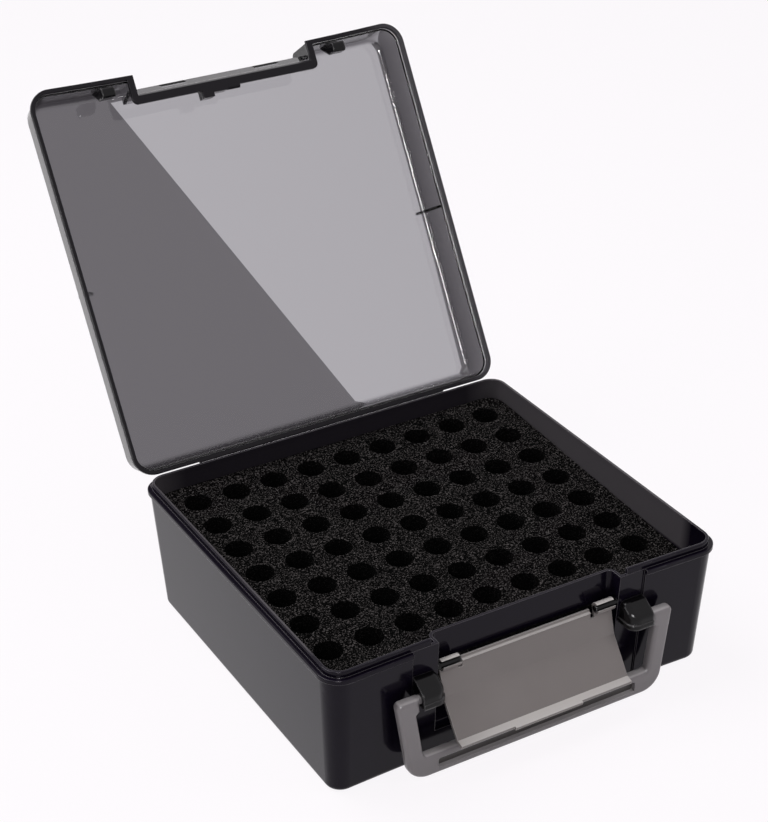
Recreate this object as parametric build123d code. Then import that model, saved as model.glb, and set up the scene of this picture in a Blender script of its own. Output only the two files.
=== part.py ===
from build123d import *
import os
from math import atan2, cos, degrees, radians, sin

# Battery storage case, shown as photographed: lid swung open, latch hanging open, handle hanging.
# Millimetres. Origin at the middle of the flat underside. X to the right, Y to the back, Z up.
# The lid and the latch are drawn shut and then turned to the pose they rest in.

# Rim outline, shared by base and lid
RIM_WIDTH = 230.0
RIM_DEPTH = 215.0
RIM_CORNER = 12.0
FRONT_BOW = 2.2
SEAM_Z = 72.5
SEAM_GAP = 0.15
FLANGE_REACH = 1.2
EDGE_BREAK = 0.5

# Base shell
BASE_WALL = 3.0
BASE_FLOOR = 2.4
BASE_FLANGE = 2.4
BASE_DRAFT_X = 2.6
BASE_DRAFT_Y = 6.3
BASE_FOOT_CORNER = 8.5
BASE_FOOT_RADIUS = 3.0
TONGUE_HEIGHT = 3.3
TONGUE_SET_BACK = 2.6

# Flat panel at the front that carries the lugs, and the latch recess in it
PANEL_SIDE_GAP = 0.2
PANEL_DEPTH = 3.8
RECESS_HALF = 53.2
RECESS_BACK = 95.0
RECESS_FLOOR = 16.0
RECESS_WALL = 1.5
RECESS_RADIUS = 3.0

# Lid shell
LID_HEIGHT = 23.0
LID_FLANGE = 2.0
LID_WALL = 2.2
LID_DRAFT_X = 2.2
LID_DRAFT_Y = 1.2
LID_TOP_RADIUS = 3.2
LID_INNER_RADIUS = 3.2
TONGUE_FIT = 0.25
TONGUE_HEADROOM = 0.4

# Notch in the lid's front wall, under the shut latch
NOTCH_HALF = 53.5
NOTCH_RIM = 94.0
NOTCH_FOLD = 99.4
NOTCH_FOLD_RISE = 10.5
NOTCH_LEDGE_WIDTH = 4.4
NOTCH_SIDE_LEDGE = 3.6
NOTCH_LEDGE_CORNER = 3.2
CATCH_CLEAR = 0.3
SLOT_START = 21.2
SLOT_LENGTH = 15.2
SLOT_HEIGHT = 3.6

# Moulded details inside the lid
CATCH_BLOCK_X = -16.3
CATCH_BLOCK_WIDTH = 6.7
CATCH_BLOCK_REACH = 4.0
CATCH_RISE = 7.0
CATCH_WEB_LENGTH = 8.8
CATCH_WEB_REACH = 1.7
CATCH_BOSS_RADIUS = 1.9
CATCH_BOSS_LENGTH = 7.8
RIB_Y = 3.0
RIB_THICK = 1.6
RIB_REACH = 8.5

# Lid locators, which drop inside the base rim
LOCATOR_X = 71.0
LOCATOR_WIDTH = 7.6
LOCATOR_DEPTH = 5.6
LOCATOR_DROP = 4.0
LOCATOR_RISE = 9.0
LOCATOR_FIT = 0.5

# Living hinge along the back rim
HINGE_HALF = 78.5
HINGE_OUT = 1.2
HINGE_BEAD_RADIUS = 0.5
HINGE_WEB_THICK = 0.5
HINGE_CLEAR = 0.1
LID_STRIP_THICK = 0.95
LID_OPEN = 120.6

# Latch and its pins
LATCH_PIVOT_Y = -100.6
LATCH_PIVOT_Z = 56.3
LATCH_HALF = 50.8
LATCH_THICK = 1.8
LATCH_OFFSET = 1.4
LOWER_LEAF = 17.5
UPPER_LEAF = 22.6
HOOK_LEAF = 4.1
LOWER_LEAN = 5.7
UPPER_LEAN = -15.5
HOOK_LEAN = -56.3
TAB_HALF = 20.0
TAB_REACH = 1.2
LATCH_OPEN = 160.0
PIN_RADIUS = 1.95
PIN_FIT = 0.05
PIN_INNER_END = 40.0
CLIP_WALL = 1.2
CLIP_WIDTH = 10.3
CLIP_MOUTH = 3.1
CLIP_MOUTH_ANGLE = -13.0
RELIEF_WIDTH = 2.5
RELIEF_DEPTH = 5.0
RIDGE_RADIUS = 1.2

# Handle lugs
LUG_INNER = 54.5
LUG_OUTER = 67.9
LUG_FRONT = 113.8
LUG_FOOT_Z = 44.2
LUG_TOP_Z = 56.8
LUG_BROW_Z = 51.4
LUG_CROWN = 3.0
LUG_CREST_RADIUS = 5.0
LUG_LIP = 0.5
LUG_LIP_HEIGHT = 2.8
LUG_CORNER = 5.6
LUG_TOP_RADIUS = 3.4

# Carry handle
PIVOT_SET_BACK = 4.8
HANDLE_PIVOT_Z = 48.0
HANDLE_TOP_HALF = 81.5
HANDLE_FOOT_HALF = 74.9
HANDLE_TOP_Z = 50.2
HANDLE_FOOT_Z = 0.9
HANDLE_BAR = 13.0
HANDLE_ARM = 9.6
HANDLE_THICK = 6.4
HANDLE_CORNER = 12.0
HANDLE_INNER_CORNER = 2.5
HANDLE_ROUND = 2.3
HANDLE_END_CORNER = 2.8
SHOULDER_CLEAR = 0.8
SHOULDER_HEIGHT = 7.9
SHOULDER_NOTCH = 1.8
STUD_RADIUS = 2.4
STUD_FIT = 0.08
STUD_END_CLEAR = 0.6
STUD_REACH = 11.5
GRIP_POCKET_HALF = 59.3
GRIP_POCKET_HEIGHT = 5.8
GRIP_POCKET_DEPTH = 2.5
GRIP_POCKET_RADIUS = 1.2

# Foam
FOAM_PAD = 5.6
FOAM_SIDE_GAP = 1.2
FOAM_RECESS_GAP = 1.5
FOAM_TOP_Z = 60.4
FOAM_TILT = 0.05
CELL_COLUMNS = 9
CELL_ROWS = 7
CELL_RADIUS = 7.5
CELL_MARGIN_SIDE = 11.65
CELL_MARGIN_BACK = 10.8
CELL_MARGIN_FRONT = 32.4

# Worked out from the above
HALF_W = RIM_WIDTH / 2
HALF_D = RIM_DEPTH / 2
PANEL_HALF = LUG_OUTER + PANEL_SIDE_GAP
LID_Z = SEAM_Z + SEAM_GAP
LID_TOP = SEAM_Z + LID_HEIGHT
HINGE_Y = HALF_D + HINGE_OUT
HANDLE_PIVOT_Y = PIVOT_SET_BACK - LUG_FRONT
CELL_PITCH_X = (RIM_WIDTH - CELL_MARGIN_SIDE * 2) / CELL_COLUMNS
CELL_PITCH_Y = (RIM_DEPTH - CELL_MARGIN_BACK - CELL_MARGIN_FRONT) / CELL_ROWS
CELL_CENTRE_Y = (CELL_MARGIN_FRONT - CELL_MARGIN_BACK) / 2
LEDGE_HALF = NOTCH_HALF + NOTCH_SIDE_LEDGE
BEYOND = 30.0
OUTWARDS = 90.0


def outline(inset_x, inset_y, corner, z):
    """Rounded rectangle inside the rim outline, its front edge bowed inwards."""
    half_w = HALF_W - inset_x
    half_d = HALF_D - inset_y
    with BuildSketch(Plane.XY.offset(z)) as sketch:
        with BuildLine():
            ThreePointArc((-half_w, -half_d), (0, -half_d + FRONT_BOW), (half_w, -half_d))
            Line((half_w, -half_d), (half_w, half_d))
            Line((half_w, half_d), (-half_w, half_d))
            Line((-half_w, half_d), (-half_w, -half_d))
        make_face()
        fillet(sketch.vertices(), corner)
    return sketch.sketch


def even_outline(inset, z):
    return outline(inset, inset, RIM_CORNER - inset, z)


def side_prism(points, x_low, x_high):
    """Solid between two X positions whose side view is the closed run of (y, z) points."""
    with BuildSketch(Plane.YZ.offset(x_low)) as sketch:
        with BuildLine():
            Polyline(*points, close=True)
        make_face()
    return extrude(sketch.sketch, amount=x_high - x_low, dir=(1, 0, 0))


def block(x_low, x_high, y_low, y_high, z_low, z_high):
    middle = ((x_low + x_high) / 2, (y_low + y_high) / 2, (z_low + z_high) / 2)
    return Pos(*middle) * Box(x_high - x_low, y_high - y_low, z_high - z_low)


def rod(x_low, x_high, y, z, radius):
    return Pos((x_low + x_high) / 2, y, z) * Rot(0, 90, 0) * Cylinder(radius, x_high - x_low)


def mirrored(shape):
    return mirror(shape, about=Plane.YZ)


def panel_y(z):
    """Front face of the lug panel at height z, drafted like the wall beside it."""
    return -(HALF_D - PANEL_DEPTH) + BASE_DRAFT_Y * (SEAM_Z - z) / SEAM_Z


def cavity_inset_y(z):
    """How far the base's inner end faces lie inside the rim at height z."""
    return FLANGE_REACH + BASE_WALL + BASE_DRAFT_Y * (SEAM_Z - z) / SEAM_Z


def cavity_inset_x(z):
    return FLANGE_REACH + BASE_WALL + BASE_DRAFT_X * (SEAM_Z - z) / SEAM_Z


def cavity_outline(z, gap):
    corner = RIM_CORNER - FLANGE_REACH - BASE_WALL
    corner -= (RIM_CORNER - FLANGE_REACH - BASE_FOOT_CORNER) * (SEAM_Z - z) / SEAM_Z
    return outline(cavity_inset_x(z) + gap, cavity_inset_y(z) + gap, corner, z)


def recess_shape(grow, top):
    """The latch recess as a solid, or grown by a wall thickness for the housing around it."""
    half = RECESS_HALF + grow
    shape = block(-half, half, -HALF_D - BEYOND, -RECESS_BACK + grow, RECESS_FLOOR - grow, top)
    back = shape.faces().sort_by(Axis.Y)[-1]
    rounded = [edge for edge in back.edges() if edge.center().Z < top - 1]
    return fillet(rounded, RECESS_RADIUS + grow)


def base_shell():
    foot = outline(FLANGE_REACH + BASE_DRAFT_X, FLANGE_REACH + BASE_DRAFT_Y, BASE_FOOT_CORNER, 0)
    body = loft([foot, even_outline(FLANGE_REACH, SEAM_Z)])
    body = fillet(body.edges().group_by(Axis.Z)[0], BASE_FOOT_RADIUS)
    flange = extrude(even_outline(0, SEAM_Z - BASE_FLANGE), BASE_FLANGE)
    body += fillet(flange.edges().group_by(Axis.Z)[-1], EDGE_BREAK)
    tongue = extrude(even_outline(TONGUE_SET_BACK, SEAM_Z), TONGUE_HEIGHT)
    body += fillet(tongue.edges().group_by(Axis.Z)[-1], EDGE_BREAK)

    cavity = loft([cavity_outline(BASE_FLOOR, 0), cavity_outline(SEAM_Z, 0)])
    cavity += extrude(cavity_outline(SEAM_Z, 0), BEYOND)
    body -= cavity - recess_shape(RECESS_WALL, SEAM_Z)

    y_low = -HALF_D - BEYOND
    z_low = -BEYOND
    z_high = SEAM_Z + BEYOND
    cut = [(y_low, z_low), (panel_y(z_low), z_low), (panel_y(z_high), z_high), (y_low, z_high)]
    body -= side_prism(cut, -PANEL_HALF, PANEL_HALF)
    body -= recess_shape(0, SEAM_Z + BEYOND)
    tongue_stop = LEDGE_HALF + TONGUE_FIT
    body -= block(-tongue_stop, tongue_stop, y_low, 0, SEAM_Z, z_high)
    return body


def notch_points(shift):
    """Side view of the notch in the lid's front wall; shift moves its back face inwards."""
    corner_y, corner_z = latch_crook()
    return [
        (-HALF_D - BEYOND, SEAM_Z - BEYOND),
        (-NOTCH_RIM + shift, SEAM_Z - BEYOND),
        (-NOTCH_RIM + shift, LID_Z),
        (-NOTCH_FOLD + shift, LID_Z + NOTCH_FOLD_RISE),
        (corner_y + shift, LID_TOP),
        (corner_y + shift, LID_TOP + BEYOND),
        (-HALF_D - BEYOND, LID_TOP + BEYOND),
    ]


def lid_cavity():
    step_z = SEAM_Z + TONGUE_HEIGHT + TONGUE_HEADROOM
    ceiling = LID_TOP - LID_WALL
    fit = TONGUE_SET_BACK - TONGUE_FIT
    wall = FLANGE_REACH + LID_WALL
    rim = extrude(even_outline(fit, SEAM_Z - BEYOND), step_z - SEAM_Z + BEYOND)
    upper = loft([
        even_outline(wall, step_z),
        outline(wall + LID_DRAFT_X, wall + LID_DRAFT_Y, RIM_CORNER - wall, ceiling),
    ])
    upper = fillet(upper.edges().group_by(Axis.Z)[-1], LID_INNER_RADIUS)
    return rim + upper


def side_rib():
    """Three-cornered rib from the skirt down onto the panel."""
    wall_x = HALF_W - FLANGE_REACH - LID_WALL
    foot_x = wall_x - RIB_REACH
    step_z = SEAM_Z + TONGUE_HEIGHT + TONGUE_HEADROOM
    ceiling = LID_TOP - LID_WALL
    with BuildSketch(Plane.XZ.offset(-RIB_Y - RIB_THICK / 2)) as sketch:
        with BuildLine():
            Polyline(
                (wall_x, step_z),
                (wall_x, ceiling + 1),
                (foot_x, ceiling + 1),
                (foot_x, ceiling),
                close=True,
            )
        make_face()
    return extrude(sketch.sketch, amount=RIB_THICK)


def catch_details():
    """Small moulded block, web and boss behind the middle of the notch."""
    y = -NOTCH_RIM + NOTCH_LEDGE_WIDTH
    block_end = CATCH_BLOCK_X + CATCH_BLOCK_WIDTH
    web_end = block_end + CATCH_WEB_LENGTH
    top = LID_Z + CATCH_RISE
    details = block(CATCH_BLOCK_X, block_end, y - 1, y + CATCH_BLOCK_REACH, LID_Z, top)
    details += block(block_end, web_end, y - 1, y + CATCH_WEB_REACH, LID_Z, top)
    boss_z = LID_Z + CATCH_BOSS_RADIUS
    details += rod(web_end, web_end + CATCH_BOSS_LENGTH, y, boss_z, CATCH_BOSS_RADIUS)
    return details


def lid_shell():
    corner = RIM_CORNER - FLANGE_REACH
    top = outline(FLANGE_REACH + LID_DRAFT_X, FLANGE_REACH + LID_DRAFT_Y, corner, LID_TOP)
    body = loft([even_outline(FLANGE_REACH, LID_Z), top])
    body = fillet(body.edges().group_by(Axis.Z)[-1], LID_TOP_RADIUS)
    flange = extrude(even_outline(0, LID_Z), LID_FLANGE)
    body += fillet(flange.edges().group_by(Axis.Z)[0], EDGE_BREAK)

    housing_half = NOTCH_HALF + LID_WALL
    housing = side_prism(notch_points(LID_WALL), -housing_half, housing_half)
    ledge_front = -HALF_D + FRONT_BOW + EDGE_BREAK
    ledge_back = -NOTCH_RIM + NOTCH_LEDGE_WIDTH
    ledge = block(-LEDGE_HALF, LEDGE_HALF, ledge_front, ledge_back, LID_Z, LID_Z + LID_FLANGE)
    ledge = fillet(ledge.edges().filter_by(Axis.Z).group_by(Axis.Y)[-1], NOTCH_LEDGE_CORNER)
    body -= lid_cavity() - housing
    body += ledge + side_rib() + mirrored(side_rib())
    body -= side_prism(notch_points(0), -NOTCH_HALF, NOTCH_HALF)
    body += catch_details()

    slot_top = LID_Z + NOTCH_FOLD_RISE
    slot_end = SLOT_START + SLOT_LENGTH
    slot = block(SLOT_START, slot_end, -HALF_D, -NOTCH_RIM, slot_top - SLOT_HEIGHT, slot_top)
    body -= slot + mirrored(slot)
    strip_end = HINGE_Y - HINGE_BEAD_RADIUS - HINGE_CLEAR
    body += block(-HINGE_HALF, HINGE_HALF, HALF_D - LID_FLANGE, strip_end, LID_Z, LID_Z + LID_STRIP_THICK)
    return body


def hinge_web():
    """Thin flexing strip and bead that join the two moulded halves along the back."""
    bead = rod(-HINGE_HALF, HINGE_HALF, HINGE_Y, SEAM_Z, HINGE_BEAD_RADIUS)
    low = SEAM_Z - HINGE_BEAD_RADIUS
    strip = block(-HINGE_HALF, HINGE_HALF, HALF_D, HINGE_Y, low, low + HINGE_WEB_THICK - HINGE_CLEAR)
    return bead + strip


def lid_locator():
    """Block on the lid's rim that drops just inside the base's tongue."""
    bow = FRONT_BOW * (1 - ((LOCATOR_X - LOCATOR_WIDTH / 2) / HALF_W) ** 2)
    tongue_back = -HALF_D + FLANGE_REACH + BASE_WALL + bow
    wall_y = -HALF_D + FLANGE_REACH + LID_WALL + bow
    step_z = SEAM_Z + TONGUE_HEIGHT + TONGUE_HEADROOM
    wall_slope = LID_DRAFT_Y / (LID_TOP - LID_WALL - step_z)
    front = tongue_back + LOCATOR_FIT
    back = front + LOCATOR_DEPTH
    foot = SEAM_Z - LOCATOR_DROP
    points = [
        (front, foot),
        (front, step_z),
        (wall_y, step_z),
        (wall_y + wall_slope * LOCATOR_RISE, step_z + LOCATOR_RISE),
        (front, step_z + LOCATOR_RISE),
        (back, step_z),
        (back, foot),
    ]
    left = LOCATOR_X - LOCATOR_WIDTH / 2
    shape = side_prism(points, left, left + LOCATOR_WIDTH)
    ends = shape.edges().filter_by(Axis.X).group_by(Axis.Z)[0]
    return fillet(ends, LOCATOR_DEPTH * 0.3)


def along(start, lean, length):
    """Point reached from start, going up the (y, z) plane; lean is degrees outwards from upright."""
    return (start[0] - sin(radians(lean)) * length, start[1] + cos(radians(lean)) * length)


def latch_joints():
    """Corners of the shut latch's inner face, from the pivot edge to the hook's edge."""
    foot = along((LATCH_PIVOT_Y, LATCH_PIVOT_Z), LOWER_LEAN + OUTWARDS, LATCH_OFFSET)
    crease = along(foot, LOWER_LEAN, LOWER_LEAF)
    crook = along(crease, UPPER_LEAN, UPPER_LEAF)
    edge = along(crook, HOOK_LEAN, HOOK_LEAF)
    return foot, crease, crook, edge


def latch_crook():
    """Where the lid's top edge sits: just under the shut hook, half way along it."""
    foot, crease, crook, edge = latch_joints()
    middle = along(crook, HOOK_LEAN, HOOK_LEAF / 2)
    return along(middle, HOOK_LEAN - OUTWARDS, CATCH_CLEAR)


def leaf(start, lean, length, half_width):
    """One flat leaf of the latch, from its inner face outwards by the plate thickness."""
    end = along(start, lean, length)
    outer_end = along(end, lean + OUTWARDS, LATCH_THICK)
    outer_start = along(start, lean + OUTWARDS, LATCH_THICK)
    return side_prism([start, end, outer_end, outer_start], -half_width, half_width)


def knuckle(at, low_lean, high_lean):
    """Wedge that fills the outside of a bend between two leaves."""
    first = along(at, low_lean + OUTWARDS, LATCH_THICK)
    half_lean = (low_lean + high_lean) / 2
    reach = LATCH_THICK / cos(radians((low_lean - high_lean) / 2))
    second = along(at, high_lean + OUTWARDS, LATCH_THICK)
    return side_prism([at, first, along(at, half_lean + OUTWARDS, reach), second], -LATCH_HALF, LATCH_HALF)


def latch_clip():
    """C-shaped clip that snaps on a pin; its mouth faces the case when the latch is shut."""
    start = LATCH_HALF - CLIP_WIDTH
    bore = PIN_RADIUS + PIN_FIT
    clip = rod(start, LATCH_HALF, LATCH_PIVOT_Y, LATCH_PIVOT_Z, bore + CLIP_WALL)
    mouth = block(start - 1, LATCH_HALF + 1, 0, BEYOND, -CLIP_MOUTH / 2, CLIP_MOUTH / 2)
    clip -= Pos(0, LATCH_PIVOT_Y, LATCH_PIVOT_Z) * Rot(CLIP_MOUTH_ANGLE, 0, 0) * mouth
    return clip


def latch_plate():
    foot, crease, crook, edge = latch_joints()
    plate = leaf(foot, LOWER_LEAN, LOWER_LEAF, LATCH_HALF)
    plate += leaf(crease, UPPER_LEAN, UPPER_LEAF, LATCH_HALF)
    plate += leaf(crook, HOOK_LEAN, HOOK_LEAF, LATCH_HALF)
    plate += knuckle(crease, LOWER_LEAN, UPPER_LEAN)
    plate += knuckle(crook, UPPER_LEAN, HOOK_LEAN)
    plate += leaf(crook, HOOK_LEAN, HOOK_LEAF + TAB_REACH, TAB_HALF)

    bore = PIN_RADIUS + PIN_FIT
    relief_end = LATCH_HALF - CLIP_WIDTH
    ridge_half = relief_end - RELIEF_WIDTH
    ridge = along(foot, LOWER_LEAN, RIDGE_RADIUS)
    plate += rod(-ridge_half, ridge_half, ridge[0], ridge[1], RIDGE_RADIUS)
    top = LATCH_PIVOT_Z + RELIEF_DEPTH
    relief = block(ridge_half, relief_end, -HALF_D - BEYOND, 0, 0, top)
    plate -= relief + mirrored(relief)
    plate += latch_clip() + mirrored(latch_clip())
    return plate - rod(-HALF_W, HALF_W, LATCH_PIVOT_Y, LATCH_PIVOT_Z, bore)


def latch_pin():
    """Pin that stands out of the recess's side wall."""
    return rod(PIN_INNER_END, RECESS_HALF, LATCH_PIVOT_Y, LATCH_PIVOT_Z, PIN_RADIUS)


def lug_corner(shape):
    """Rounds the upright edge at the front of the lug's inboard side."""
    return fillet(shape.edges().filter_by(Axis.Z).group_by(Axis.Y)[0].sort_by(Axis.X)[0], LUG_CORNER)


def lug_hood():
    """Lug from the panel out, its top sloping down to the brow and its inboard edges round."""
    points = [
        (-RECESS_BACK, LUG_FOOT_Z),
        (-LUG_FRONT, LUG_FOOT_Z),
        (-LUG_FRONT, LUG_BROW_Z),
        (panel_y(LUG_TOP_Z) - LUG_CROWN, LUG_TOP_Z),
        (-RECESS_BACK, LUG_TOP_Z),
    ]
    shape = side_prism(points, LUG_INNER, LUG_OUTER)
    crest = shape.edges().filter_by(Axis.X).group_by(Axis.Z)[-1].sort_by(Axis.Y)[0]
    shape = lug_corner(fillet(crest, LUG_CREST_RADIUS))
    upper = [edge for edge in shape.edges() if edge.center().Z > LUG_BROW_Z - 0.1]
    inboard = [edge for edge in upper if edge.center().X < LUG_OUTER - 0.1]
    level = shape.edges().filter_by(Axis.X)
    rim = [edge for edge in inboard if edge not in level or edge.center().Z < LUG_BROW_Z + 0.1]
    return fillet(rim, LUG_TOP_RADIUS)


def handle_lug():
    lip_front = -LUG_FRONT - LUG_LIP
    lip_top = LUG_FOOT_Z + LUG_LIP_HEIGHT
    lip = block(LUG_INNER - LUG_LIP, LUG_OUTER, lip_front, -RECESS_BACK, LUG_FOOT_Z, lip_top)
    shape = lug_hood() + lug_corner(lip)
    bore_end = LUG_OUTER - STUD_REACH + SHOULDER_CLEAR - STUD_END_CLEAR
    shape -= rod(bore_end, LUG_OUTER + 1, HANDLE_PIVOT_Y, HANDLE_PIVOT_Z, STUD_RADIUS + STUD_FIT)
    behind = [
        (panel_y(0), 0),
        (panel_y(SEAM_Z), SEAM_Z),
        (0, SEAM_Z),
        (0, 0),
    ]
    return shape - side_prism(behind, 0, HALF_W)


def handle_frame():
    """Front view of the handle: tapered U with square shoulders at the top of its arms."""
    inner_top = LUG_OUTER + SHOULDER_CLEAR
    slope = (HANDLE_TOP_HALF - HANDLE_FOOT_HALF) / (HANDLE_TOP_Z - HANDLE_FOOT_Z)
    bar_top = HANDLE_FOOT_Z + HANDLE_BAR
    notch_z = HANDLE_TOP_Z - SHOULDER_HEIGHT
    low_z = notch_z - SHOULDER_NOTCH
    inner_low = HANDLE_TOP_HALF - HANDLE_ARM - slope * (HANDLE_TOP_Z - low_z)
    inner_foot = HANDLE_TOP_HALF - HANDLE_ARM - slope * (HANDLE_TOP_Z - bar_top)
    with BuildSketch(Plane.XZ.offset(-HANDLE_PIVOT_Y - HANDLE_THICK / 2)) as sketch:
        with BuildLine():
            Polyline(
                (-HANDLE_TOP_HALF, HANDLE_TOP_Z),
                (-HANDLE_FOOT_HALF, HANDLE_FOOT_Z),
                (HANDLE_FOOT_HALF, HANDLE_FOOT_Z),
                (HANDLE_TOP_HALF, HANDLE_TOP_Z),
                close=True,
            )
        make_face()
        fillet(sketch.vertices().group_by(Axis.Y)[0], HANDLE_CORNER)
        fillet(sketch.vertices().group_by(Axis.Y)[-1], HANDLE_END_CORNER)
        with BuildSketch(mode=Mode.PRIVATE) as window:
            with BuildLine():
                Polyline(
                    (-inner_top, HANDLE_TOP_Z + 1),
                    (-inner_top, notch_z),
                    (-inner_low, low_z),
                    (-inner_foot, bar_top),
                    (inner_foot, bar_top),
                    (inner_low, low_z),
                    (inner_top, notch_z),
                    (inner_top, HANDLE_TOP_Z + 1),
                    close=True,
                )
            make_face()
            fillet(window.vertices().group_by(Axis.Y)[0], HANDLE_INNER_CORNER)
        add(window.sketch, mode=Mode.SUBTRACT)
    return extrude(sketch.sketch, amount=HANDLE_THICK)


def carry_handle():
    frame = handle_frame()
    front = frame.faces().sort_by(Axis.Y)[0]
    back = frame.faces().sort_by(Axis.Y)[-1]
    shape = fillet(front.edges() + back.edges(), HANDLE_ROUND)
    middle_z = HANDLE_FOOT_Z + HANDLE_BAR / 2
    front_y = HANDLE_PIVOT_Y - HANDLE_THICK / 2
    pocket = block(
        -GRIP_POCKET_HALF,
        GRIP_POCKET_HALF,
        front_y - 1,
        front_y + GRIP_POCKET_DEPTH,
        middle_z - GRIP_POCKET_HEIGHT / 2,
        middle_z + GRIP_POCKET_HEIGHT / 2,
    )
    shape -= fillet(pocket.edges().filter_by(Axis.Y), GRIP_POCKET_RADIUS)
    shoulder = LUG_OUTER + SHOULDER_CLEAR
    stud = rod(shoulder - STUD_REACH, shoulder + 2, HANDLE_PIVOT_Y, HANDLE_PIVOT_Z, STUD_RADIUS)
    return shape + stud + mirrored(stud)


def hang_angle(shape):
    """Small swing that brings the handle's middle of mass straight under its pivot."""
    middle = shape.center(CenterOf.MASS)
    return -degrees(atan2(middle.Y - HANDLE_PIVOT_Y, HANDLE_PIVOT_Z - middle.Z))


def foam_blank(z_low, z_high):
    """Cavity-filling block with a small gap all round and room for the recess housing."""
    shape = loft([cavity_outline(z_low, FOAM_SIDE_GAP), cavity_outline(z_high, FOAM_SIDE_GAP)])
    half = RECESS_HALF + RECESS_WALL + FOAM_RECESS_GAP
    back = -RECESS_BACK + RECESS_WALL + FOAM_RECESS_GAP
    return shape - block(-half, half, -HALF_D, back, z_low - 1, z_high + 1)


def cell_places():
    for row in range(CELL_ROWS):
        for column in range(CELL_COLUMNS):
            x = (column - (CELL_COLUMNS - 1) / 2) * CELL_PITCH_X
            y = CELL_CENTRE_Y + (row - (CELL_ROWS - 1) / 2) * CELL_PITCH_Y
            yield x, y


def foam_insert():
    low = BASE_FLOOR + FOAM_PAD
    shape = foam_blank(low, SEAM_Z)
    front_z = FOAM_TOP_Z - FOAM_TILT * HALF_D
    back_z = FOAM_TOP_Z + FOAM_TILT * HALF_D
    above = [(-HALF_D, front_z), (HALF_D, back_z), (HALF_D, SEAM_Z + 1), (-HALF_D, SEAM_Z + 1)]
    shape -= side_prism(above, -HALF_W, HALF_W)
    height = SEAM_Z - low
    cell = Cylinder(CELL_RADIUS, height + 2)
    return shape - [Pos(x, y, low + height / 2) * cell for x, y in cell_places()]


def foam_base_pad():
    return foam_blank(BASE_FLOOR, BASE_FLOOR + FOAM_PAD)


def open_lid(shape):
    return shape.rotate(Axis((0, HINGE_Y, SEAM_Z), (1, 0, 0)), -LID_OPEN)


def open_latch(shape):
    return shape.rotate(Axis((0, LATCH_PIVOT_Y, LATCH_PIVOT_Z), (1, 0, 0)), LATCH_OPEN)


def save(name, shape):
    shape.label = name
    export_step(shape, f"parts/{name}.step")


os.makedirs("parts", exist_ok=True)
handle = carry_handle()
handle_axis = Axis((0, HANDLE_PIVOT_Y, HANDLE_PIVOT_Z), (1, 0, 0))
save("base_shell", base_shell())
save("lid_shell", open_lid(lid_shell()))
save("hinge_web", hinge_web())
save("lid_locator_right", open_lid(lid_locator()))
save("lid_locator_left", open_lid(mirrored(lid_locator())))
save("latch_plate", open_latch(latch_plate()))
save("latch_pin_right", latch_pin())
save("latch_pin_left", mirrored(latch_pin()))
save("handle_lug_right", handle_lug())
save("handle_lug_left", mirrored(handle_lug()))
save("carry_handle", handle.rotate(handle_axis, hang_angle(handle)))
save("foam_insert", foam_insert())
save("foam_base_pad", foam_base_pad())
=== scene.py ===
import bmesh
import bpy
from math import radians
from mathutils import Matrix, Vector, noise


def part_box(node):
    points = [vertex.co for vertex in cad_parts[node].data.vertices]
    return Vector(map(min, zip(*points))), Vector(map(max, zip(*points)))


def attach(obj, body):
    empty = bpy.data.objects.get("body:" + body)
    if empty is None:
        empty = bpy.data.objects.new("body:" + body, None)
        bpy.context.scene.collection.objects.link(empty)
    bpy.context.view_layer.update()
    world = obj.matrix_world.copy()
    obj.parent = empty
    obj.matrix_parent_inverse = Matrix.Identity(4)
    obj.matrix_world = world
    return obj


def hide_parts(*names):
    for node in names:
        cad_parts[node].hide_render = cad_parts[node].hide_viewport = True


# Battery storage case, standing open on a pale floor. Metres, in the CAD frame.

# Foam block, as cut in the CAD
CELL_COLUMNS = 9
CELL_ROWS = 7
CELL_RADIUS = 0.0075
CELL_PITCH_X = 0.022967
CELL_PITCH_Y = 0.024543
CELL_CENTRE_Y = 0.0108
FOAM_TOP_Z = 0.0604
FOAM_TILT = 0.05
FOAM_CORNER = 0.0095
RECESS_HALF = 0.0562
RECESS_BACK = -0.092

# The sheet's points within this of an edge belong to it, and its step at the recess leans
# by this much to each side, so that no two points meet
EDGE_REACH = 0.0001
STEP_LEAN = 0.0003

# How uneven cut foam is: share of a hole's radius, height of the top's waves and of the pad's
HOLE_UNEVEN = 0.02
TOP_WAVE = 0.0003
PAD_WAVE = 0.0002

# Beyond these distances from the middle the block narrows towards its foot, by this share
FOAM_SIDE_STRAIGHT = 0.1
FOAM_SIDE_DRAW = 0.2
FOAM_END_STRAIGHT = 0.0925
FOAM_END_DRAW = 0.5

# The photograph's camera
CAMERA_PLACE = (-0.44387, -0.75452, 0.62144)
CAMERA_TURN = (57.72, 0.44, -30.96)
CAMERA_LENS = 85.70
CAMERA_SHIFT_X = -0.0560
CAMERA_SHIFT_Y = 0.1326

# Studio light on diffuse surfaces, and the white that the camera and reflections see
WORLD_FILL = 0.3
WHITE = (1.0, 0.975, 1.0)
FLOOR_GREY = (0.74, 0.73, 0.74)
FLOOR_WHITE_SHARE = 0.92
FLOOR_RADIUS = 6.0
LAMP_WHITE = (1.0, 0.99, 1.0)

# The lamps: place, turn in degrees, size and watts
KEY = ((0.649, -0.688, 0.861), (55.03, -6.55, 33.41), (0.42, 0.62), 3.0)
TOP = ((-0.5, 0.6, 1.4), (-23.0, -20.0, 0.0), (1.0, 1.0), 22.0)

# A bright panel behind the lid, whose left edge shows through it as a slanting line
BACKLIGHT = ((0.0951, 0.22296, 0.15765), (-123.26, -21.86, 13.73), (0.1937, 0.2972), 0.426)
BACKLIGHT_COLOUR = (0.98, 1.0, 0.98)

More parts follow.
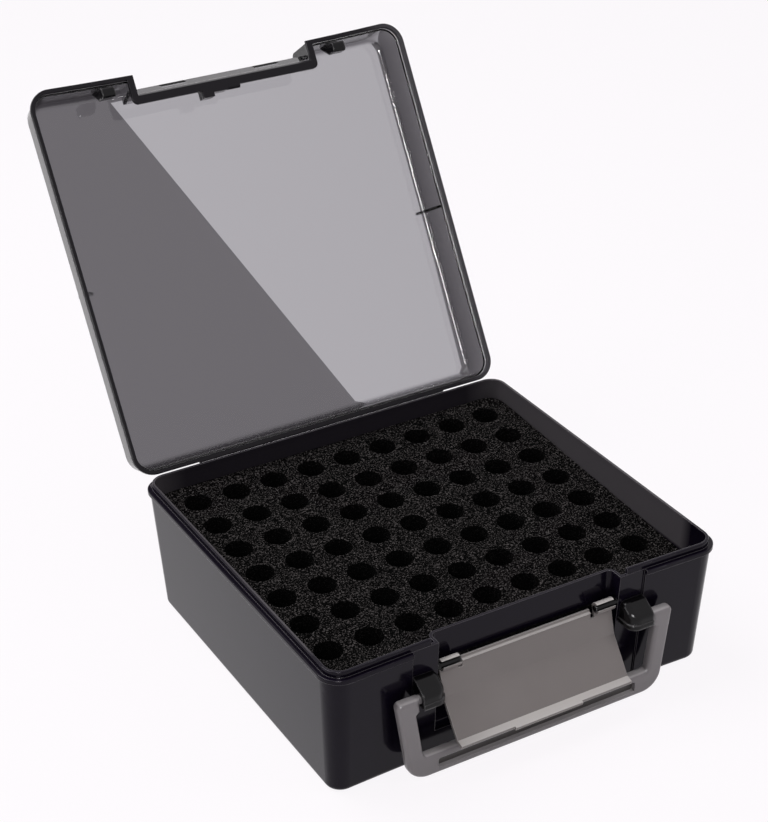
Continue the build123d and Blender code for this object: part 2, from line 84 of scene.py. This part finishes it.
# A narrow lamp at the left, for the bright line along the lid's right wall
SIDE = ((-1.05, 0.02, 0.39), (83.0, 0.0, -81.0), (0.06, 0.5), 1.1)

# Two lamps above the camera: one for the bright lines in hollows, and a wide one that only
# shows in gloss, for the spots on knobs and edges
ABOVE_CAMERA = ((-0.62, -0.86, 0.83), (55.0, 0.0, -36.0))
SPARK = (*ABOVE_CAMERA, (0.06, 0.07), 1.7)
GLINT = (*ABOVE_CAMERA, (0.42, 0.42), 16.0)

# Barn doors on the panel, each a plane through the point from which the photograph was taken,
# lit on the side that it faces: one for the lid's right wall, two for the notch and its end
DOOR_POINT = (-0.44387, -0.75452, 0.62144)
DOOR_RIGHT = (-0.88471, 0.40912, -0.22342)
DOOR_NOTCH = (0.01221, -0.366, -0.93053)
DOOR_NOTCH_END = (0.89778, -0.37334, 0.23367)
DOOR_EDGE = 0.0005

# Painted light: the inner half of the base's side and back walls is painted with a glow above the
# foam, most at the sides
GLOW_SIDE = 0.1115
GLOW_END = 0.1035
GLOW_LOW = 0.056
GLOW_FRONT = -0.086
GLOW_FULL = (0.09, 0.107)
GLOW_AT_BACK = 0.25

# Along the handle's bar: the long pocket, and the painted shade inside it
POCKET = (("X", -0.0593, 0.0593), ("Y", -0.1117, -0.1090), ("Z", 0.0045, 0.0103))
POCKET_EDGE = 0.0003
POCKET_PAINTED_SHADE = (0.06, 0.054, 0.052)

# The open lid: a point on its hinge, the way up from its rim when it is shut, and the height
# of its dark rim, which is painted paler towards the right as painted light
LID_HINGE = (0.0, 0.1087, 0.0725)
LID_UP = (0.0, 0.86074, -0.50904)
LID_RIM = 0.0024
RIM_PAINTED_PALER = (0.09, 0.11)

# A change from one finish to the next within a piece
FINISH_EDGE = 0.0006

# Grain of the mouldings, in features for each metre: drift of colour, patches of gloss, skin
DRIFT_SCALE = 38.0
PATCH_SCALE = 120.0
SKIN_SCALE = 1500.0
LID_PATCH_SCALE = 60.0

# Smoke-tinted plastic of base and lid
BASE_OUTSIDE = ((0.0028, 0.0018, 0.005), (0.0044, 0.003, 0.0078))
# Painted glow on the base's inner walls
BASE_PAINTED_GLOW = (0.06, 0.055, 0.06)
# Painted highlight along the base's edges
BASE_PAINTED_EDGE_HIGHLIGHT = (0.09, 0.084, 0.092)
BASE_SHEEN = (0.97, 0.92, 1.0)
LID_CLEAR = (0.94, 0.93, 0.95)
LID_RIM_LEFT = (0.004, 0.003, 0.005)
# The rim's right side, painted paler as painted light
LID_RIM_RIGHT_PAINTED_LIT = (0.045, 0.042, 0.048)
SMOKE_COLOUR = (0.10, 0.085, 0.11)
SMOKE_DENSITY = 980.0

# Foam: its grain and its open cells, in features for each metre, and its two greys
FOAM_GRAIN_SCALE = 1250.0
FOAM_CELL_SCALE = 1100.0
FOAM_GREYS = ((0.0002, 0.0002, 0.0002), (0.072, 0.066, 0.065))
# Painted shade: on steep faces, such as the walls of the holes, the foam keeps only this share of
# its paler grain
FOAM_PAINTED_SHADE_IN_HOLES = 0.15

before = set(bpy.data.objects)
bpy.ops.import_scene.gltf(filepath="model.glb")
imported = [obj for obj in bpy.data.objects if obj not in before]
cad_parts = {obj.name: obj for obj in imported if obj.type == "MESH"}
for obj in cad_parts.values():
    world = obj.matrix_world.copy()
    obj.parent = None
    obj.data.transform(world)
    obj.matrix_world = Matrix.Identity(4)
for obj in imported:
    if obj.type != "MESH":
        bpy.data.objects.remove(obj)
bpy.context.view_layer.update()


# Materials

def new_finish(name):
    """New node material; returns it with its node tree and its shader."""
    finish = bpy.data.materials.new(name)
    finish.use_nodes = True
    tree = finish.node_tree
    shader = tree.nodes["Principled BSDF"]
    return finish, tree, shader


def node(tree, kind, **settings):
    """Adds a shader node with its settings."""
    made = tree.nodes.new("ShaderNode" + kind)
    for key, value in settings.items():
        setattr(made, key, value)
    return made


def object_place(tree):
    return node(tree, "TexCoord").outputs["Object"]


def object_axes(tree):
    """The place on the object as three outputs, X, Y and Z."""
    parts = node(tree, "SeparateXYZ")
    tree.links.new(object_place(tree), parts.inputs["Vector"])
    return parts.outputs


def grain(tree, scale, detail=2.0, roughness=0.5):
    """Noise on object coordinates, with features about 1/scale metres apart."""
    noise_node = node(tree, "TexNoise")
    noise_node.inputs["Scale"].default_value = scale
    noise_node.inputs["Detail"].default_value = detail
    noise_node.inputs["Roughness"].default_value = roughness
    tree.links.new(object_place(tree), noise_node.inputs["Vector"])
    return noise_node.outputs["Fac"]


def spread(tree, value, low, high, from_low=0.0, from_high=1.0):
    """Maps a value onto a range."""
    mapper = node(tree, "MapRange")
    mapper.inputs["From Min"].default_value = from_low
    mapper.inputs["From Max"].default_value = from_high
    mapper.inputs["To Min"].default_value = low
    mapper.inputs["To Max"].default_value = high
    tree.links.new(value, mapper.inputs["Value"])
    return mapper.outputs["Result"]


def calculate(tree, operation, first, second=None):
    """One step of arithmetic; the second value is an output or a number."""
    step = node(tree, "Math", operation=operation)
    tree.links.new(first, step.inputs[0])
    if isinstance(second, float):
        step.inputs[1].default_value = second
    elif second:
        tree.links.new(second, step.inputs[1])
    return step.outputs["Value"]


def least_of(tree, first, second):
    return calculate(tree, "MINIMUM", first, second)


def most_of(tree, first, second):
    return calculate(tree, "MAXIMUM", first, second)


def height_from(tree, place, point, facing):
    """Distance of a place from the plane through a point, on the side that the plane faces."""
    away = node(tree, "VectorMath", operation="SUBTRACT")
    away.inputs[1].default_value = point
    tree.links.new(place, away.inputs[0])
    reach = node(tree, "VectorMath", operation="DOT_PRODUCT")
    reach.inputs[1].default_value = facing
    tree.links.new(away.outputs["Vector"], reach.inputs[0])
    return reach.outputs["Value"]


def lighten(tree, colour, share, light):
    """Blends a colour output towards a written colour, by a share from 0 to 1."""
    mixer = node(tree, "Mix", data_type="RGBA")
    mixer.inputs["B"].default_value = (*light, 1)
    tree.links.new(colour, mixer.inputs["A"])
    tree.links.new(share, mixer.inputs["Factor"])
    return mixer.outputs["Result"]


def blend_colours(tree, share, first, second):
    """Blends two written colours by a share from 0 to 1."""
    mixer = node(tree, "Mix", data_type="RGBA")
    mixer.inputs["A"].default_value = (*first, 1)
    mixer.inputs["B"].default_value = (*second, 1)
    tree.links.new(share, mixer.inputs["Factor"])
    return mixer.outputs["Result"]


def seen_white(tree):
    """1 for the camera, for reflections and through the lid, 0 where light only falls."""
    rays = node(tree, "LightPath").outputs
    seen = most_of(tree, rays["Is Camera Ray"], rays["Is Glossy Ray"])
    return most_of(tree, seen, rays["Is Transmission Ray"])


def soft_edges(tree, radius):
    """Rounds the look of sharp moulded edges."""
    rounder = node(tree, "Bevel", samples=6)
    rounder.inputs["Radius"].default_value = radius
    return rounder.outputs["Normal"]


def edge_share(tree, radius):
    """Near 1 along edges, 0 on flat faces."""
    rounder = node(tree, "Bevel", samples=8)
    rounder.inputs["Radius"].default_value = radius
    meet = node(tree, "VectorMath", operation="DOT_PRODUCT")
    tree.links.new(rounder.outputs["Normal"], meet.inputs[0])
    tree.links.new(node(tree, "NewGeometry").outputs["Normal"], meet.inputs[1])
    return spread(tree, meet.outputs["Value"], 1.0, 0.0, 0.82, 0.985)


def upward_share(tree):
    """1 on faces that look up at rest, 0 on steep ones."""
    parts = node(tree, "SeparateXYZ")
    tree.links.new(node(tree, "TexCoord").outputs["Normal"], parts.inputs["Vector"])
    return spread(tree, parts.outputs["Z"], 0.0, 1.0, 0.66, 0.88)


def relief(tree, height, strength, distance, normal=None):
    bump = node(tree, "Bump")
    bump.inputs["Strength"].default_value = strength
    bump.inputs["Distance"].default_value = distance
    tree.links.new(height, bump.inputs["Height"])
    if normal:
        tree.links.new(normal, bump.inputs["Normal"])
    return bump.outputs["Normal"]


def moulded_skin(tree, shader, gloss, strength, depth, edge):
    """Slowly changing gloss, a fine skin and softened edges."""
    wear = spread(tree, grain(tree, PATCH_SCALE, 4.0), *gloss, 0.3, 0.7)
    tree.links.new(wear, shader.inputs["Roughness"])
    skin = relief(tree, grain(tree, SKIN_SCALE), strength, depth, soft_edges(tree, edge))
    tree.links.new(skin, shader.inputs["Normal"])


def grip_pocket(tree):
    """1 inside the handle's long pocket, 0 elsewhere."""
    place = object_axes(tree)
    inside = None
    for axis, low, high in POCKET:
        after = spread(tree, place[axis], 0.0, 1.0, low, low + POCKET_EDGE)
        before = spread(tree, place[axis], 1.0, 0.0, high - POCKET_EDGE, high)
        both = least_of(tree, after, before)
        inside = least_of(tree, inside, both) if inside else both
    return inside


def moulded_plastic(name, grey, painted_highlight_grey, gloss, specular, upward=False, edge=0.0004, pocket=None):
    """Injection-moulded plastic that drifts slowly between two greys and is painted paler at its
    edges.

    The third grey is a painted highlight on the edges, and also painted light from above on faces
    which look up if upward is set.
    """
    finish, tree, shader = new_finish(name)
    colour = blend_colours(tree, grain(tree, DRIFT_SCALE, 3.0), *grey)
    # Painted shade inside the handle's long pocket
    if pocket:
        colour = lighten(tree, colour, grip_pocket(tree), pocket)
    # Painted highlights along the edges, and painted light from above on faces that look up
    share = edge_share(tree, edge)
    if upward:
        share = most_of(tree, share, upward_share(tree))
    tree.links.new(lighten(tree, colour, share, painted_highlight_grey), shader.inputs["Base Color"])
    moulded_skin(tree, shader, gloss, 0.12, 0.00006, edge)
    shader.inputs["Specular IOR Level"].default_value = specular
    return finish


def painted_inner_glow(tree):
    """Share of the painted glow that stands for light coming through the base's thick walls, seen
    from inside its rim.
    """
    place = object_axes(tree)
    sideways = calculate(tree, "ABSOLUTE", place["X"])
    lengthways = calculate(tree, "ABSOLUTE", place["Y"])
    inner_x = spread(tree, sideways, 1.0, 0.0, GLOW_SIDE, GLOW_SIDE + FINISH_EDGE)
    inner_y = spread(tree, lengthways, 1.0, 0.0, GLOW_END, GLOW_END + FINISH_EDGE)
    above = spread(tree, place["Z"], 0.0, 1.0, GLOW_LOW, GLOW_LOW + 0.002)
    behind = spread(tree, place["Y"], 0.0, 1.0, GLOW_FRONT, GLOW_FRONT + 0.008)
    inner = least_of(tree, least_of(tree, inner_x, inner_y), least_of(tree, above, behind))
    sides = spread(tree, sideways, GLOW_AT_BACK, 1.0, *GLOW_FULL)
    return calculate(tree, "MULTIPLY", inner, sides)


def smoked_base_plastic():
    """The base's thick smoke-tinted walls: near black outside, a faint painted glow inside the
    rim, painted highlights on the edges.
    """
    finish, tree, shader = new_finish("smoked_base")
    outside = blend_colours(tree, grain(tree, DRIFT_SCALE, 3.0), *BASE_OUTSIDE)
    # Painted glow on the inner walls above the foam
    walls = lighten(tree, outside, painted_inner_glow(tree), BASE_PAINTED_GLOW)
    # Painted highlights along the base's edges
    rims = lighten(tree, walls, edge_share(tree, 0.0006), BASE_PAINTED_EDGE_HIGHLIGHT)
    tree.links.new(rims, shader.inputs["Base Color"])
    moulded_skin(tree, shader, (0.08, 0.15), 0.05, 0.00004, 0.0005)
    shader.inputs["Specular IOR Level"].default_value = 0.135
    shader.inputs["Specular Tint"].default_value = (*BASE_SHEEN, 1)
    return finish


def smoked_lid_plastic():
    """See-through smoke-grey moulding, deeper in colour where it is thicker, dark at the rim,
    whose right side is painted paler as painted light.
    """
    finish, tree, shader = new_finish("smoked_lid")
    height = height_from(tree, object_place(tree), LID_HINGE, LID_UP)
    rim = spread(tree, height, 1.0, 0.0, LID_RIM, LID_RIM + FINISH_EDGE)
    # Painted light: the rim is painted paler towards the right
    painted_light_right = spread(tree, object_axes(tree)["X"], 0.0, 1.0, *RIM_PAINTED_PALER)
    rim_colour = blend_colours(tree, painted_light_right, LID_RIM_LEFT, LID_RIM_RIGHT_PAINTED_LIT)
    clear = node(tree, "Mix", data_type="RGBA")
    clear.inputs["A"].default_value = (*LID_CLEAR, 1)
    tree.links.new(rim_colour, clear.inputs["B"])
    tree.links.new(rim, clear.inputs["Factor"])
    tree.links.new(clear.outputs["Result"], shader.inputs["Base Color"])
    faint = spread(tree, grain(tree, LID_PATCH_SCALE, 4.0), 0.0, 0.006, 0.35, 0.7)
    dull = calculate(tree, "MULTIPLY", rim, 0.3)
    tree.links.new(calculate(tree, "ADD", dull, faint), shader.inputs["Roughness"])
    tree.links.new(spread(tree, rim, 1.0, 0.0), shader.inputs["Transmission Weight"])
    tree.links.new(spread(tree, rim, 0.5, 0.2), shader.inputs["Specular IOR Level"])
    shader.inputs["IOR"].default_value = 1.45
    tree.links.new(soft_edges(tree, 0.0004), shader.inputs["Normal"])
    smoke = node(tree, "VolumeAbsorption")
    smoke.inputs["Color"].default_value = (*SMOKE_COLOUR, 1)
    smoke.inputs["Density"].default_value = SMOKE_DENSITY
    tree.links.new(smoke.outputs["Volume"], tree.nodes["Material Output"].inputs["Volume"])
    return finish


def open_cell_foam():
    """Charcoal foam: a fine grain of open cells, here and there a painted glint where a cell
    catches the light, and painted shade on steep faces such as the holes' walls.
    """
    finish, tree, shader = new_finish("open_cell_foam")
    grains = spread(tree, grain(tree, FOAM_GRAIN_SCALE, 1.0, 0.6), 0.0, 1.0, 0.55, 0.7)
    cells = node(tree, "TexVoronoi", feature="F1")
    cells.inputs["Scale"].default_value = FOAM_CELL_SCALE
    tree.links.new(object_place(tree), cells.inputs["Vector"])
    # Painted glints: now and then a cell painted pale, as if it caught the light
    painted_glints = spread(tree, cells.outputs["Color"], 0.0, 0.9, 0.8, 1.0)
    # Painted shade on steep faces, such as the walls of the holes
    painted_hole_shade = spread(tree, upward_share(tree), FOAM_PAINTED_SHADE_IN_HOLES, 1.0)
    grain_and_painted_light = calculate(tree, "MULTIPLY", most_of(tree, grains, painted_glints), painted_hole_shade)
    colour = blend_colours(tree, grain_and_painted_light, *FOAM_GREYS)
    tree.links.new(colour, shader.inputs["Base Color"])
    pits = relief(tree, cells.outputs["Distance"], 0.7, 0.0006)
    tree.links.new(pits, shader.inputs["Normal"])
    shader.inputs["Roughness"].default_value = 0.9
    shader.inputs["Specular IOR Level"].default_value = 0.02
    return finish


SMOKED_BASE = smoked_base_plastic()
SMOKED_LID = smoked_lid_plastic()
SILVER_GREY = moulded_plastic(
    "silver_grey",
    grey=((0.188, 0.169, 0.163), (0.215, 0.194, 0.188)),
    painted_highlight_grey=(0.52, 0.495, 0.48),
    gloss=(0.32, 0.44),
    specular=0.35,
    upward=True,
)
HANDLE_GREY = moulded_plastic(
    "handle_grey",
    grey=((0.187, 0.173, 0.179), (0.213, 0.198, 0.204)),
    painted_highlight_grey=(0.42, 0.4, 0.405),
    gloss=(0.28, 0.4),
    specular=0.4,
    upward=True,
    pocket=POCKET_PAINTED_SHADE,
)
BLACK_GLOSS = moulded_plastic(
    "black_gloss",
    grey=((0.002, 0.0018, 0.0022), (0.0035, 0.0032, 0.0038)),
    painted_highlight_grey=(0.06, 0.058, 0.06),
    gloss=(0.05, 0.1),
    specular=0.2,
    edge=0.0014,
)
FOAM = open_cell_foam()

NODE_FINISHES = {
    "base_shell": SMOKED_BASE,
    "hinge_web": SMOKED_BASE,
    "lid_shell": SMOKED_LID,
    "lid_locator_left": BLACK_GLOSS,
    "lid_locator_right": BLACK_GLOSS,
    "latch_plate": SILVER_GREY,
    "latch_pin_left": BLACK_GLOSS,
    "latch_pin_right": BLACK_GLOSS,
    "carry_handle": HANDLE_GREY,
    "handle_lug_left": BLACK_GLOSS,
    "handle_lug_right": BLACK_GLOSS,
}

for name, finish in NODE_FINISHES.items():
    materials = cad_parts[name].data.materials
    materials.clear()
    materials.append(finish)


# Foam

def as_piece(name, mesh, finish, body):
    """Turns a finished bmesh into a shaded object that rides on a body."""
    data = bpy.data.meshes.new(name)
    bmesh.ops.recalc_face_normals(mesh, faces=mesh.faces)
    mesh.to_mesh(data)
    mesh.free()
    data.materials.append(finish)
    piece = bpy.data.objects.new(name, data)
    bpy.context.scene.collection.objects.link(piece)
    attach(piece, body)
    return piece


def rounded_corner(place, corner):
    """Moves a point of a square corner into the round one, keeping nested rows apart."""
    away = Vector((abs(place.x) - corner.x, abs(place.y) - corner.y))
    if away.x <= 0 or away.y <= 0:
        return
    away = away.normalized() * max(away.x, away.y)
    place.x = (corner.x + away.x) * (1 if place.x > 0 else -1)
    place.y = (corner.y + away.y) * (1 if place.y > 0 else -1)


def foam_sheet(half_x, half_y):
    """Flat sheet over the foam's outline: one patch per battery cell, with margins round them."""
    sheet = bmesh.new()
    columns = CELL_COLUMNS + 2
    rows = CELL_ROWS + 2
    bmesh.ops.create_grid(sheet, x_segments=columns, y_segments=rows, size=0.5)
    for vert in sheet.verts:
        column = round((vert.co.x + 0.5) * columns)
        row = round((vert.co.y + 0.5) * rows)
        x = (column - 1 - CELL_COLUMNS / 2) * CELL_PITCH_X
        y = CELL_CENTRE_Y + (row - 1 - CELL_ROWS / 2) * CELL_PITCH_Y
        if column in (0, columns):
            x = half_x if column else -half_x
        if row in (0, rows):
            y = half_y if row else -half_y
        vert.co = Vector((x, y, 0))
    return sheet


def cell_middles():
    for row in range(CELL_ROWS):
        for column in range(CELL_COLUMNS):
            x = (column - (CELL_COLUMNS - 1) / 2) * CELL_PITCH_X
            y = CELL_CENTRE_Y + (row - (CELL_ROWS - 1) / 2) * CELL_PITCH_Y
            yield Vector((x, y, 0))


def shape_outline(sheet, half_x, half_y):
    """Rounds the sheet's corners and steps its front edge back from the latch recess."""
    corner = Vector((half_x - FOAM_CORNER, half_y - FOAM_CORNER))
    step = CELL_PITCH_X / 8
    for vert in sheet.verts:
        along = abs(vert.co.x)
        if vert.co.y < -half_y + EDGE_REACH and along < RECESS_HALF:
            vert.co.y = RECESS_BACK
        if vert.co.y < RECESS_BACK + EDGE_REACH and abs(along - RECESS_HALF) < step:
            lean = STEP_LEAN if along > RECESS_HALF else -STEP_LEAN
            vert.co.x *= (RECESS_HALF + lean) / along
        rounded_corner(vert.co, corner)


def cut_cells(sheet):
    """Opens the round holes, each a little off true as cut foam is."""
    for middle in cell_middles():
        near = [
            face for face in sheet.faces
            if abs(face.calc_center_median().x - middle.x) < CELL_PITCH_X / 3
            and abs(face.calc_center_median().y - middle.y) < CELL_PITCH_Y / 3
        ]
        inside = set(near)
        rim = set()
        for face in near:
            for edge in face.edges:
                if any(other not in inside for other in edge.link_faces):
                    rim.update(edge.verts)
        for vert in rim:
            away = (vert.co - middle).normalized()
            uneven = 1 + HOLE_UNEVEN * noise.noise(middle * 90 + away * 1.3)
            vert.co = middle + away * CELL_RADIUS * uneven
        bmesh.ops.delete(sheet, geom=near, context="FACES")


def thicken(sheet, top_z, bottom_z):
    """Extrudes the sheet down into a closed block; returns the rim edges of its top."""
    for vert in sheet.verts:
        vert.co.z = top_z(vert.co)
    top = list(sheet.faces)
    made = bmesh.ops.extrude_face_region(sheet, geom=top, use_keep_orig=True)["geom"]
    lower = [item for item in made if isinstance(item, bmesh.types.BMVert)]
    for vert in lower:
        vert.co.z = bottom_z
        vert.co.x = drawn_in(vert.co.x, FOAM_SIDE_STRAIGHT, FOAM_SIDE_DRAW)
        vert.co.y = drawn_in(vert.co.y, FOAM_END_STRAIGHT, FOAM_END_DRAW)
    upper = set(top)
    return [edge for edge in sheet.edges if sum(face in upper for face in edge.link_faces) == 1]


def drawn_in(value, straight, share):
    """The block narrows downwards beyond its straight middle part."""
    beyond = max(abs(value) - straight, 0)
    return (abs(value) - beyond * share) * (1 if value > 0 else -1)


def foam_piece(name, box, top_z, chamfer, holed):
    """A block of foam within a box, with softened edges round its top."""
    low, high = box
    sheet = foam_sheet(high.x, high.y)
    bmesh.ops.subdivide_edges(sheet, edges=sheet.edges[:], cuts=7, use_grid_fill=True)
    if holed:
        cut_cells(sheet)
    shape_outline(sheet, high.x, high.y)
    rims = thicken(sheet, top_z, low.z)
    bmesh.ops.bevel(
        sheet,
        geom=rims,
        offset=chamfer,
        segments=2,
        profile=0.5,
        affect="EDGES",
        material=-1,
        clamp_overlap=True,
    )
    if holed:
        for face in sheet.faces:
            face.smooth = True
    return as_piece(name, sheet, FOAM, "case")


def block_top(place):
    """The block's top rises to the back and is a little wavy."""
    wave = TOP_WAVE * noise.noise(Vector((place.x * 40, place.y * 40, 0.3)))
    return FOAM_TOP_Z + FOAM_TILT * place.y + wave


def pad_top(place):
    """The pad's top dips a little below its solid's in waves."""
    wave = PAD_WAVE * noise.noise(Vector((place.x * 60, place.y * 60, 4.1)))
    return PAD_BOX[1].z + wave - PAD_WAVE


block = foam_piece("foam_block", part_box("foam_insert"), block_top, chamfer=0.0007, holed=True)
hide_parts("foam_insert")

PAD_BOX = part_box("foam_base_pad")
pad = foam_piece("foam_floor_pad", PAD_BOX, pad_top, chamfer=0.001, holed=False)
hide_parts("foam_base_pad")


# Floor, lights and camera

def pale_floor():
    """Wide floor that shows white behind the case and keeps its soft shadow."""
    finish, tree, shader = new_finish("pale_floor")
    shader.inputs["Base Color"].default_value = (*FLOOR_GREY, 1)
    shader.inputs["Roughness"].default_value = 0.8
    shader.inputs["Specular IOR Level"].default_value = 0.0
    share = calculate(tree, "MULTIPLY", seen_white(tree), FLOOR_WHITE_SHARE)
    white = node(tree, "Emission")
    white.inputs["Color"].default_value = (*WHITE, 1)
    white.inputs["Strength"].default_value = 1.0
    mixed = node(tree, "MixShader")
    tree.links.new(share, mixed.inputs["Fac"])
    tree.links.new(shader.outputs["BSDF"], mixed.inputs[1])
    tree.links.new(white.outputs["Emission"], mixed.inputs[2])
    tree.links.new(mixed.outputs["Shader"], tree.nodes["Material Output"].inputs["Surface"])
    sheet = bmesh.new()
    bmesh.ops.create_circle(sheet, cap_ends=True, radius=FLOOR_RADIUS, segments=96)
    data = bpy.data.meshes.new("floor")
    sheet.to_mesh(data)
    sheet.free()
    data.materials.append(finish)
    floor = bpy.data.objects.new("floor", data)
    floor.location.z = -0.0002
    bpy.context.scene.collection.objects.link(floor)


def studio_world():
    world = bpy.data.worlds.new("studio")
    bpy.context.scene.world = world
    world.use_nodes = True
    tree = world.node_tree
    background = tree.nodes["Background"]
    background.inputs["Color"].default_value = (*WHITE, 1)
    level = spread(tree, seen_white(tree), WORLD_FILL, 1.0)
    tree.links.new(level, background.inputs["Strength"])


def soft_box(name, place, turn, size, watts):
    lamp = bpy.data.lights.new(name, "AREA")
    lamp.shape = "RECTANGLE"
    lamp.size, lamp.size_y = size
    lamp.energy = watts
    lamp.color = LAMP_WHITE
    holder = bpy.data.objects.new(name, lamp)
    holder.location = place
    holder.rotation_euler = [radians(angle) for angle in turn]
    bpy.context.scene.collection.objects.link(holder)
    return holder


def barn_doors(lamp):
    """Keeps the panel's light off the lid's right wall and its notch, which stay dark."""
    lamp.use_nodes = True
    tree = lamp.node_tree
    place = node(tree, "NewGeometry").outputs["Position"]

    def lit_side(facing):
        reach = height_from(tree, place, DOOR_POINT, facing)
        return spread(tree, reach, 0.0, 1.0, 0.0, DOOR_EDGE)

    under_notch = most_of(tree, lit_side(DOOR_NOTCH), lit_side(DOOR_NOTCH_END))
    share = least_of(tree, lit_side(DOOR_RIGHT), under_notch)
    tree.links.new(share, tree.nodes["Emission"].inputs["Strength"])


def light_panel():
    panel = soft_box("backlight", *BACKLIGHT)
    panel.visible_camera = False
    panel.visible_glossy = False
    panel.data.color = BACKLIGHT_COLOUR
    barn_doors(panel.data)


def photo_camera():
    data = bpy.data.cameras.new("photo")
    data.sensor_width = 36.0
    data.lens = CAMERA_LENS
    data.shift_x = CAMERA_SHIFT_X
    data.shift_y = CAMERA_SHIFT_Y
    data.clip_start = 0.01
    camera = bpy.data.objects.new("photo", data)
    camera.location = CAMERA_PLACE
    camera.rotation_euler = [radians(angle) for angle in CAMERA_TURN]
    bpy.context.scene.collection.objects.link(camera)
    bpy.context.scene.camera = camera


pale_floor()
studio_world()
soft_box("key", *KEY).visible_glossy = False
light_panel()
soft_box("side", *SIDE).visible_camera = False
soft_box("top", *TOP)
soft_box("spark", *SPARK)
glint = soft_box("glint", *GLINT)
glint.visible_diffuse = False
glint.visible_camera = False
photo_camera()
bpy.context.scene.view_settings.view_transform = "Standard"
